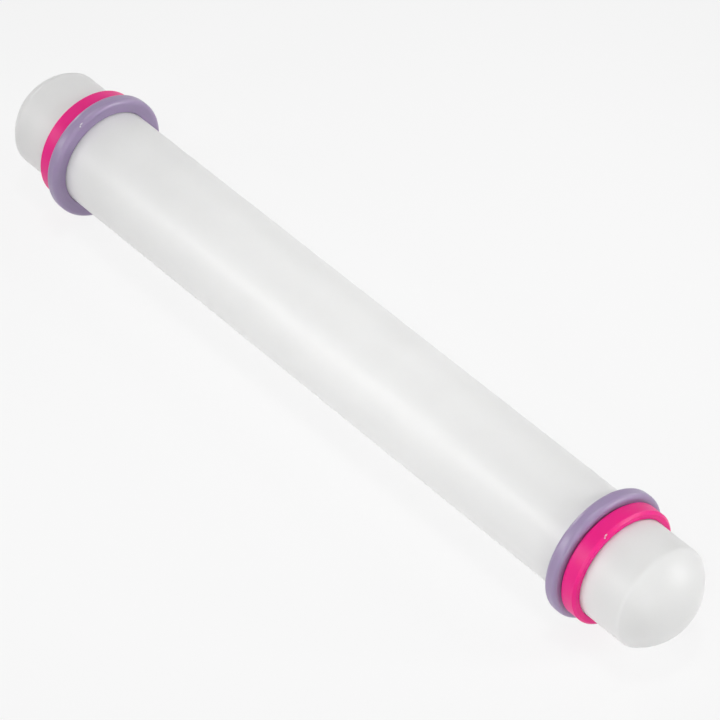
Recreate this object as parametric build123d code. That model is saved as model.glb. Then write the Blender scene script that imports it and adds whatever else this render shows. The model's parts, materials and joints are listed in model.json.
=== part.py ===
from build123d import *
import math
import os

# Fondant rolling pin without handles, lying along X with its axis on the X axis.
# The origin is the middle of the roller. The two ends have the same pieces, so each
# one is made at +X and mirrored to -X. The rings are slid on by hand, and the left
# pair lies a little further in than the right pair.

# Roller: nine inches over the domes, one inch across
roller_length = 228.6
roller_diameter = 25.4
tube_wall = 2.5

# End cap: its head carries the dome, its spigot plugs into the tube
dome_height = 7.4
dome_wall = 3.0
rim_round = 1.8
spigot_length = 15.0
spigot_wall = 1.8
spigot_clearance = 0.05
spigot_lead = 0.8
tube_mouth_lead = 0.4

# Snap beads round the spigot, each in a groove of the tube
bead_count = 2
bead_from_seam = 4.5
bead_pitch = 5.0
bead_section_radius = 0.8
bead_height = 0.35

# Guide rings, thick one inboard and thin one outboard, on both ends
thick_guide_height = 3.4
thick_ring_width = 3.6
thick_edge_round = 1.2
thin_guide_height = 1.9
thin_ring_width = 4.5
thin_edge_bevel = 0.6
right_rings_from_tip = 19.0
left_rings_from_tip = 19.4
ring_gap = 0.1
ring_bore_clearance = 0.08
ring_bore_round = 0.15

# The seam between cap and tube hides under the thin ring at both ends. This is how far
# in it lies from the outer face of the thin ring that is nearer the middle.
seam_cover = 0.05
seam_round = 0.3

# How near an edge's place and radius must be to the wanted ones when it is looked up
edge_match = 0.02

# Sizes worked out from those above
roller_radius = roller_diameter / 2
half_length = roller_length / 2
rings_outer_x = {
    "right": half_length - right_rings_from_tip,
    "left": half_length - left_rings_from_tip,
}
seam_x = min(rings_outer_x.values()) - seam_cover
tube_bore_radius = roller_radius - tube_wall
spigot_radius = tube_bore_radius - spigot_clearance
cap_bore_radius = spigot_radius - spigot_wall
spigot_tip_x = seam_x - spigot_length
dome_radius = (roller_radius**2 + dome_height**2) / (2 * dome_height)
dome_centre_x = half_length - dome_radius
rim_x = half_length - dome_height
bead_places = [seam_x - bead_from_seam - n * bead_pitch for n in range(bead_count)]


def along_x(radius, start, end):
    """Solid rod of this radius on the X axis, from start to end."""
    rod = Cylinder(radius, end - start, align=(Align.CENTER, Align.CENTER, Align.MIN))
    return Pos(start, 0, 0) * Rot(0, 90, 0) * rod


def round_edges(solid, x, radius):
    """The circular edges of this radius that lie in the plane at x."""
    rims = solid.edges().filter_by(GeomType.CIRCLE)
    rims = rims.filter_by(lambda edge: abs(edge.center().X - x) < edge_match)
    return rims.filter_by(lambda edge: abs(edge.radius - radius) < edge_match)


def bead_ring(place, section_radius):
    """Ring of round section that stands bead_height out of the spigot."""
    centre_radius = spigot_radius + bead_height - bead_section_radius
    return Pos(place, 0, 0) * Rot(0, 90, 0) * Torus(centre_radius, section_radius)


def dome_ended(radius, start, sphere_radius):
    """Rod from start whose far end is the sphere about the dome's centre."""
    half_angle = math.asin(radius / sphere_radius) / 2
    edge = (dome_centre_x + sphere_radius * math.cos(2 * half_angle), 0, radius)
    middle = (
        dome_centre_x + sphere_radius * math.cos(half_angle),
        0,
        sphere_radius * math.sin(half_angle),
    )
    tip = (dome_centre_x + sphere_radius, 0, 0)
    side = Polyline((start, 0, 0), (start, 0, radius), edge)
    outline = side + ThreePointArc(edge, middle, tip) + Line(tip, (start, 0, 0))
    return revolve(make_face(outline), Axis.X)


def barrel_tube():
    tube = along_x(roller_radius, -seam_x, seam_x)
    tube -= along_x(tube_bore_radius, -seam_x, seam_x)
    for side in (-1, 1):
        tube = fillet(round_edges(tube, side * seam_x, roller_radius), seam_round)
        mouth = round_edges(tube, side * seam_x, tube_bore_radius)
        tube = chamfer(mouth, tube_mouth_lead)
    for place in bead_places:
        groove = bead_ring(place, bead_section_radius + spigot_clearance)
        tube -= groove
        tube -= mirror(groove, about=Plane.YZ)
    return tube


def end_cap():
    head = dome_ended(roller_radius, seam_x, dome_radius)
    head = fillet(round_edges(head, rim_x, roller_radius), rim_round)
    head = fillet(round_edges(head, seam_x, roller_radius), seam_round)
    spigot = along_x(spigot_radius, spigot_tip_x, seam_x)
    spigot = chamfer(round_edges(spigot, spigot_tip_x, spigot_radius), spigot_lead)
    cap = head + spigot
    for place in bead_places:
        cap += bead_ring(place, bead_section_radius)
    return cap - dome_ended(cap_bore_radius, spigot_tip_x, dome_radius - dome_wall)


def guide_ring(start, width, guide_height, ease, ease_size):
    """Ring round the roller, whose rim stands guide_height above the roller. Its outer edges
    are eased by this size, with a fillet or a chamfer."""
    end = start + width
    outer_radius = roller_radius + guide_height
    bore_radius = roller_radius + ring_bore_clearance
    ring = along_x(outer_radius, start, end) - along_x(bore_radius, start, end)
    for x in (start, end):
        ring = ease(round_edges(ring, x, outer_radius), ease_size)
        ring = fillet(round_edges(ring, x, bore_radius), ring_bore_round)
    return ring


def ring_starts(outer_x):
    """Where the thick and the thin ring of a pair start, whose outer face is at outer_x."""
    thin_start = outer_x - thin_ring_width
    return thin_start - ring_gap - thick_ring_width, thin_start


nodes = {"barrel_tube": barrel_tube()}
for side, outer_x in rings_outer_x.items():
    thick_start, thin_start = ring_starts(outer_x)
    pieces = {
        "end_cap": end_cap(),
        "thick_guide_ring": guide_ring(
            thick_start, thick_ring_width, thick_guide_height, fillet, thick_edge_round
        ),
        "thin_guide_ring": guide_ring(
            thin_start, thin_ring_width, thin_guide_height, chamfer, thin_edge_bevel
        ),
    }
    for name, piece in pieces.items():
        nodes[side + "_" + name] = piece if side == "right" else mirror(piece, about=Plane.YZ)

os.makedirs("parts", exist_ok=True)
for name, piece in nodes.items():
    export_step(piece, "parts/" + name + ".step")
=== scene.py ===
import json
import math

import bmesh
import bpy
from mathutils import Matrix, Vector, noise


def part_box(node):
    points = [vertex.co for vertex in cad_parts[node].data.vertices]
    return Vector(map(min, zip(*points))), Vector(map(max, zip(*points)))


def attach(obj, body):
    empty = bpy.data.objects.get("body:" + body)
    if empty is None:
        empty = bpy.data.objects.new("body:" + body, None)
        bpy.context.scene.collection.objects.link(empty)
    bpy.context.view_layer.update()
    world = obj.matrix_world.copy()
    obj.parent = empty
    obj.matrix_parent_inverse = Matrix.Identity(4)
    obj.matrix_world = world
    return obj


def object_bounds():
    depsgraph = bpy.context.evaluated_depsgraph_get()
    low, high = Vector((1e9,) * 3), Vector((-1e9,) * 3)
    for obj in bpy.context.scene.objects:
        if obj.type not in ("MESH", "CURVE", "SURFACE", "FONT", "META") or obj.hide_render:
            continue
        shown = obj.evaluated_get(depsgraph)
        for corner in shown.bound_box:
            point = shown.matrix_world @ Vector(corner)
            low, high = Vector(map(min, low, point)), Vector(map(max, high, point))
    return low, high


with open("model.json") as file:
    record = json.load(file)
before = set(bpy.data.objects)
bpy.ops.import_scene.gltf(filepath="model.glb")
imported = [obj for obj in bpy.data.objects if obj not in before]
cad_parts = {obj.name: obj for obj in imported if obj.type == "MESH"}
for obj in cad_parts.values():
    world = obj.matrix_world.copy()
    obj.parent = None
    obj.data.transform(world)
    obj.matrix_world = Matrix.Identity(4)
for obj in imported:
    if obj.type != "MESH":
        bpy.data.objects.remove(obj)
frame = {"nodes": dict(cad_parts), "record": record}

MM = 0.001
white = (1, 1, 1, 1)

cad_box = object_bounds()
floor_height = cad_box[0].z

# Camera: where the roller's middle lies in the view, and the view's two angles
camera_azimuth = math.radians(49.810)
camera_elevation = math.radians(42.239)
middle_right = -4.476 * MM
middle_down = -3.681 * MM
middle_depth = 991.624 * MM
lens_mm = 216.677
sensor_mm = 36.0
camera_near_limit = 10 * MM
camera_far_limit = 40.0

# Stage: how bright the background shows, and how much of the floor's own light and shadow shows in it
floor_half_width = 6.0
backdrop_level = 0.962
floor_albedo = 0.86
floor_shadow_share = 0.12
sky_level = 0.18

# Lamps are small soft ones, whose pool of light fades past the roller's ends. Most of them are aimed
# at the middle of the roller and two at its near end. The one that draws the stripe of sheen along
# the barrel is aimed between them.
lamp_distance = 1.15
lamp_width = 0.28
lamp_spread = math.radians(15)
middle_aim_x = 10 * MM
stripe_aim_x = 35 * MM
near_end_aim_x = 100 * MM

# Each lamp: its name, the direction it shines from, the point of the axis it is aimed at, its watts
lamps = (
    ("front", (0, -0.95, 0.3), middle_aim_x, 0.062),
    ("front_right_top", (0.45, -0.55, 0.7), middle_aim_x, 0.043),
    ("right_high", (0.7, 0.5, 0.5), middle_aim_x, 0.041),
    ("back_right", (0.7, 0.65, 0.3), middle_aim_x, 0.075),
    ("back", (0, 0.95, 0.3), middle_aim_x, 0.045),
    ("top", (0, 0, 1), middle_aim_x, 0.069),
    ("left", (-0.94, 0, 0.34), middle_aim_x, 0.045),
    ("front_left", (-0.55, -0.72, 0.40), stripe_aim_x, 0.049),
    ("near_end_right", (0.94, 0, 0.34), near_end_aim_x, 0.010),
    ("near_end_front_right", (0.85, -0.5, 0.1), near_end_aim_x, 0.045),
)

# Plastics: their colours are linear, and torn_whiteness is how far a torn place turns to white
roller_colour = (0.80, 0.80, 0.795)
lavender_colour = (0.31, 0.236, 0.396)
magenta_colour = (0.83, 0.003, 0.235)
torn_whiteness = 0.7
plastic_ior = 1.5

# Clouds vary a plastic's colour between two shares of itself. Where their noise goes from cloud_low to
# cloud_high, the roughness goes from its lowest to its highest value.
cloud_size = 14 * MM
cloud_dark_share = 0.965
cloud_light_share = 1.03
cloud_low = 0.3
cloud_high = 0.7

# Reliefs: the grain of all plastics, the flow lines of the rings and the slow swell of the roller
grain_size = 0.35 * MM
grain_depth = 0.01 * MM
grain_strength = 0.25
flow_size = 0.5 * MM
flow_depth = 0.02 * MM
flow_strength = 0.5
flow_turn_share = 0.05
swell_size = 18 * MM
swell_depth = 0.25 * MM
swell_strength = 0.35
swell_along_share = 0.35

# Outer edges of the rings, which carry the gate marks
thick_edge_round = 1.2 * MM
thin_edge_bevel = 0.6 * MM

# Gate marks, the torn lips where the rings were cut from their runners. A ridge of the lip is (middle
# across, middle along, half width, half length), as shares of the mark's half width and half length.
ridge_shares = ((-0.35, -0.25, 0.30, 0.65), (0.05, 0.50, 0.34, 0.34))
mark_half_width = 0.6 * MM
mark_half_arc = math.radians(3.0)
steps_across = 30
steps_along = 44
lip_height = 0.25 * MM
lip_sunk = 0.03 * MM
lip_grain_size = 0.30 * MM
lip_grain_share = 0.5
lip_grain_fading = 1.0
lip_grain_ratio = 2.0
lip_grain_octaves = 3

# Each ring's mark: how far round the axis it lies, from the top towards the front, and the place in
# the noise that makes it unlike the others
gate_marks = {
    "right_thick_ring": (math.radians(205), 4 * MM),
    "right_thin_ring": (math.radians(23), 8 * MM),
    "left_thick_ring": (math.radians(27), 2 * MM),
    "left_thin_ring": (math.radians(160), 6 * MM),
}


def node(tree, kind, **settings):
    """A new shader node. A setting is one of its properties, or one of its inputs' values."""
    made = tree.nodes.new(kind)
    for name, value in settings.items():
        if hasattr(made, name):
            setattr(made, name, value)
        else:
            made.inputs[name.replace("_", " ")].default_value = value
    return made


def link(tree, source, target):
    """Joins (node, output) to (node, input)."""
    tree.links.new(source[0].outputs[source[1]], target[0].inputs[target[1]])


def add_object(name, data):
    """A new object in the scene."""
    made = bpy.data.objects.new(name, data)
    bpy.context.scene.collection.objects.link(made)
    return made


def point_at(thing, back):
    """Turns a camera or lamp so that its back points this way."""
    thing.rotation_mode = "QUATERNION"
    thing.rotation_quaternion = (-back).to_track_quat("-Z", "Y")


def make_camera():
    data = bpy.data.cameras.new("camera")
    data.lens = lens_mm
    data.sensor_width = sensor_mm
    data.clip_start = camera_near_limit
    data.clip_end = camera_far_limit
    camera = add_object("camera", data)
    sin_a, cos_a = math.sin(camera_azimuth), math.cos(camera_azimuth)
    sin_e, cos_e = math.sin(camera_elevation), math.cos(camera_elevation)
    right = Vector((cos_a, sin_a, 0))
    back = Vector((sin_a * cos_e, -cos_a * cos_e, sin_e))
    up = back.cross(right)
    camera.location = back * middle_depth - right * middle_right + up * middle_down
    point_at(camera, back)
    bpy.context.scene.camera = camera


def pale_rays(tree):
    """1 for the rays that show the background itself: to the camera, in gloss and through a pane."""
    path = node(tree, "ShaderNodeLightPath")
    shown = (path, "Is Camera Ray")
    for kind in ("Is Glossy Ray", "Is Transmission Ray"):
        either = node(tree, "ShaderNodeMath", operation="MAXIMUM")
        link(tree, shown, (either, 0))
        link(tree, (path, kind), (either, 1))
        shown = (either, "Value")
    return shown


def background(tree, lit, pale, pale_share):
    """Mix of two shaders. The rays that show the background get pale_share of pale and the rest of
    lit, and all other rays get lit alone."""
    amount = node(tree, "ShaderNodeMath", operation="MULTIPLY")
    amount.inputs[1].default_value = pale_share
    link(tree, pale_rays(tree), (amount, 0))
    mix = node(tree, "ShaderNodeMixShader")
    link(tree, (amount, "Value"), (mix, "Fac"))
    link(tree, lit, (mix, 1))
    link(tree, pale, (mix, 2))
    return mix


def make_world():
    world = bpy.data.worlds.new("studio")
    bpy.context.scene.world = world
    world.use_nodes = True
    tree = world.node_tree
    tree.nodes.clear()
    sky = node(tree, "ShaderNodeBackground", Color=white, Strength=sky_level)
    pale = node(tree, "ShaderNodeBackground", Color=white, Strength=backdrop_level)
    mix = background(tree, (sky, "Background"), (pale, "Background"), 1)
    link(tree, (mix, "Shader"), (node(tree, "ShaderNodeOutputWorld"), "Surface"))


def floor_material():
    material = bpy.data.materials.new("floor")
    material.use_nodes = True
    tree = material.node_tree
    tree.nodes.clear()
    lit = node(tree, "ShaderNodeBsdfDiffuse", Color=(floor_albedo, floor_albedo, floor_albedo, 1))
    pale = node(tree, "ShaderNodeEmission", Color=white, Strength=backdrop_level)
    mix = background(tree, (lit, "BSDF"), (pale, "Emission"), 1 - floor_shadow_share)
    link(tree, (mix, "Shader"), (node(tree, "ShaderNodeOutputMaterial"), "Surface"))
    return material


def make_floor():
    mesh = bpy.data.meshes.new("floor")
    half, z = floor_half_width, floor_height
    corners = [(-half, -half, z), (half, -half, z), (half, half, z), (-half, half, z)]
    mesh.from_pydata(corners, [], [(0, 1, 2, 3)])
    mesh.materials.append(floor_material())
    add_object("floor", mesh)


def make_lamps():
    """The square lamps of the table."""
    for name, direction, aim_x, power in lamps:
        data = bpy.data.lights.new(name, "AREA")
        data.shape = "SQUARE"
        data.size = lamp_width
        data.spread = lamp_spread
        data.energy = power
        lamp = add_object(name, data)
        away = Vector(direction).normalized()
        lamp.location = Vector((aim_x, 0, 0)) + away * lamp_distance
        point_at(lamp, away)


def value_noise(tree, place, size, detail, scale=(1, 1, 1)):
    """Noise whose cells are about this size in metres, on coordinates scaled by scale."""
    stretch = node(tree, "ShaderNodeMapping", Scale=scale)
    link(tree, place, (stretch, "Vector"))
    made = node(tree, "ShaderNodeTexNoise", Scale=1 / size, Detail=detail)
    link(tree, (stretch, "Vector"), (made, "Vector"))
    return made


def round_the_axis(tree, place):
    """Coordinates (x, y, z) with y and z shrunk and the distance from the axis added to z. They hardly
    change on the way round the axis, so noise on them runs into lines round it."""
    across = node(tree, "ShaderNodeVectorMath", operation="MULTIPLY")
    across.inputs[1].default_value = (0, 1, 1)
    link(tree, place, (across, 0))
    radius = node(tree, "ShaderNodeVectorMath", operation="LENGTH")
    link(tree, (across, "Vector"), (radius, 0))
    lift = node(tree, "ShaderNodeCombineXYZ")
    link(tree, (radius, "Value"), (lift, "Z"))
    shrunk = node(tree, "ShaderNodeVectorMath", operation="MULTIPLY_ADD")
    shrunk.inputs[1].default_value = (1, flow_turn_share, flow_turn_share)
    link(tree, place, (shrunk, 0))
    link(tree, (lift, "Vector"), (shrunk, 2))
    return shrunk


def relief(tree, height, strength, depth, under=None):
    """Bump from a noise, on top of another bump where one is given."""
    made = node(tree, "ShaderNodeBump", Strength=strength, Distance=depth)
    link(tree, (height, "Fac"), (made, "Height"))
    if under:
        link(tree, (under, "Normal"), (made, "Normal"))
    return made


def tinted(colour, share):
    """The colour made darker or lighter by a share."""
    return (*[min(channel * share, 1) for channel in colour], 1)


def whitened(colour, share):
    """The colour taken this share of the way to white."""
    return (*[channel + (1 - channel) * share for channel in colour], 1)


def plastic(name, colour, roughness, specular, scatter, scatter_mm, flow_lines):
    """Moulded plastic. scatter is how much of the light goes inside, scatter_mm how far its red, green
    and blue spread there. Without flow lines round the axis, the surface has a slow swell."""
    material = bpy.data.materials.new(name)
    material.use_nodes = True
    tree = material.node_tree
    shader = tree.nodes["Principled BSDF"]
    shader.inputs["IOR"].default_value = plastic_ior
    shader.inputs["Specular IOR Level"].default_value = specular
    shader.inputs["Subsurface Weight"].default_value = scatter
    shader.inputs["Subsurface Radius"].default_value = scatter_mm
    shader.inputs["Subsurface Scale"].default_value = MM
    place = (node(tree, "ShaderNodeTexCoord"), "Object")

    cloud = value_noise(tree, place, cloud_size, detail=3)
    dark, light = tinted(colour, cloud_dark_share), tinted(colour, cloud_light_share)
    clouded = node(tree, "ShaderNodeMix", data_type="RGBA", A=dark, B=light)
    link(tree, (cloud, "Fac"), (clouded, "Factor"))
    torn = node(tree, "ShaderNodeAttribute", attribute_name="torn")
    base = node(tree, "ShaderNodeMix", data_type="RGBA", B=whitened(colour, torn_whiteness))
    link(tree, (torn, "Fac"), (base, "Factor"))
    link(tree, (clouded, "Result"), (base, "A"))
    link(tree, (base, "Result"), (shader, "Base Color"))

    finish = node(
        tree, "ShaderNodeMapRange",
        From_Min=cloud_low, From_Max=cloud_high, To_Min=roughness[0], To_Max=roughness[1],
    )
    link(tree, (cloud, "Fac"), (finish, "Value"))
    link(tree, (finish, "Result"), (shader, "Roughness"))

    surface = relief(tree, value_noise(tree, place, grain_size, detail=2), grain_strength, grain_depth)
    if flow_lines:
        turned = (round_the_axis(tree, place), "Vector")
        flow = value_noise(tree, turned, flow_size, detail=2)
        surface = relief(tree, flow, flow_strength, flow_depth, surface)
    else:
        swell = value_noise(tree, place, swell_size, detail=1, scale=(swell_along_share, 1, 1))
        surface = relief(tree, swell, swell_strength, swell_depth, surface)
    link(tree, (surface, "Normal"), (shader, "Normal"))
    return material


def make_finishes():
    """The plastics, under the names of the record's material slots."""
    return {
        "roller_white": plastic(
            "roller_white", roller_colour, roughness=(0.38, 0.45), specular=0.42,
            scatter=0.9, scatter_mm=(3.0, 3.0, 2.95), flow_lines=False,
        ),
        "ring_lavender": plastic(
            "ring_lavender", lavender_colour, roughness=(0.33, 0.38), specular=0.7,
            scatter=0.3, scatter_mm=(1.1, 0.5, 1.0), flow_lines=True,
        ),
        "ring_magenta": plastic(
            "ring_magenta", magenta_colour, roughness=(0.36, 0.44), specular=0.36,
            scatter=0.4, scatter_mm=(1.4, 0.2, 0.7), flow_lines=True,
        ),
    }


def dress(finishes):
    """Gives each node the finish of its slot."""
    for row in frame["record"]["subparts"]:
        for place in frame["nodes"][row["node"]].material_slots:
            place.material = finishes[row["material_slot"]]


def edge_profile(edge_x, side, rim_radius, edge_size, bevelled):
    """Points across the eased edge of a ring, from its rim to its face, each with its outward
    direction: (x, radius, outward x, outward radius). side is the way the face looks along X."""
    eased = edge_size * (math.sqrt(2) if bevelled else math.pi / 2)
    points = []
    for j in range(steps_across + 1):
        past_rim = eased / 2 + mark_half_width * (2 * j / steps_across - 1)
        share = min(max(past_rim / eased, 0.0), 1.0)
        on_rim, on_face = min(past_rim, 0.0), max(past_rim - eased, 0.0)
        out_x, out_radius = side * math.sin(share * math.pi / 2), math.cos(share * math.pi / 2)
        if bevelled:
            from_face, from_rim = 1 - share, share
        else:
            from_face, from_rim = 1 - abs(out_x), 1 - out_radius
        x = edge_x - side * (edge_size * from_face - on_rim)
        points.append((x, rim_radius - edge_size * from_rim - on_face, out_x, out_radius))
    return points


def ridge_at(across, along):
    """How high the lip's ridges are here: 1 at the top of a ridge, 0 beside them."""
    heights = [0.0]
    for mid_across, mid_along, half_wide, half_long in ridge_shares:
        heights.append(1 - ((across - mid_across) / half_wide) ** 2 - ((along - mid_along) / half_long) ** 2)
    return max(heights)


def lip_mesh(name, profile, middle_turn, noise_place):
    """The torn lip: the profile carried round the axis and raised where the ridges are. Where it isn't
    raised, it lies a little under the ring's surface."""
    work = bmesh.new()
    torn = work.verts.layers.float.new("torn")
    rows = []
    for i in range(steps_along + 1):
        along = 2 * i / steps_along - 1
        turn = middle_turn + along * mark_half_arc
        row = []
        for j, (x, radius, out_x, out_radius) in enumerate(profile):
            ridge = ridge_at(2 * j / steps_across - 1, along)
            spot = Vector((x, radius * turn, noise_place)) / lip_grain_size
            grain = noise.fractal(spot, lip_grain_fading, lip_grain_ratio, lip_grain_octaves)
            lip = lip_height * min(ridge * (1 + lip_grain_share * grain), 1.0) - lip_sunk
            r = radius + out_radius * lip
            vert = work.verts.new((x + out_x * lip, -r * math.sin(turn), r * math.cos(turn)))
            vert[torn] = ridge
            row.append(vert)
        rows.append(row)
    for here, after in zip(rows, rows[1:]):
        for j in range(steps_across):
            work.faces.new((here[j], here[j + 1], after[j + 1], after[j]))
    bmesh.ops.recalc_face_normals(work, faces=work.faces)
    mesh = bpy.data.meshes.new(name)
    work.to_mesh(mesh)
    work.free()
    for face in mesh.polygons:
        face.use_smooth = True
    return mesh


def make_gate_marks(finishes):
    """A mark on the inboard edge of each thick ring and on the outboard edge of each thin ring."""
    for side, outboard in (("right", 1), ("left", -1)):
        for kind, slot, facing, edge_size, bevelled in (
            ("thick", "ring_lavender", -outboard, thick_edge_round, False),
            ("thin", "ring_magenta", outboard, thin_edge_bevel, True),
        ):
            low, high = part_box(side + "_" + kind + "_guide_ring")
            edge_x = high.x if facing > 0 else low.x
            profile = edge_profile(edge_x, facing, -low.z, edge_size, bevelled)
            body = side + "_" + kind + "_ring"
            name = body + "_gate_mark"
            mesh = lip_mesh(name, profile, *gate_marks[body])
            mesh.materials.append(finishes[slot])
            piece = add_object(name, mesh)
            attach(piece, body)


make_camera()
make_world()
make_floor()
make_lamps()
finishes = make_finishes()
dress(finishes)
make_gate_marks(finishes)

bpy.context.scene.view_settings.view_transform = "Standard"
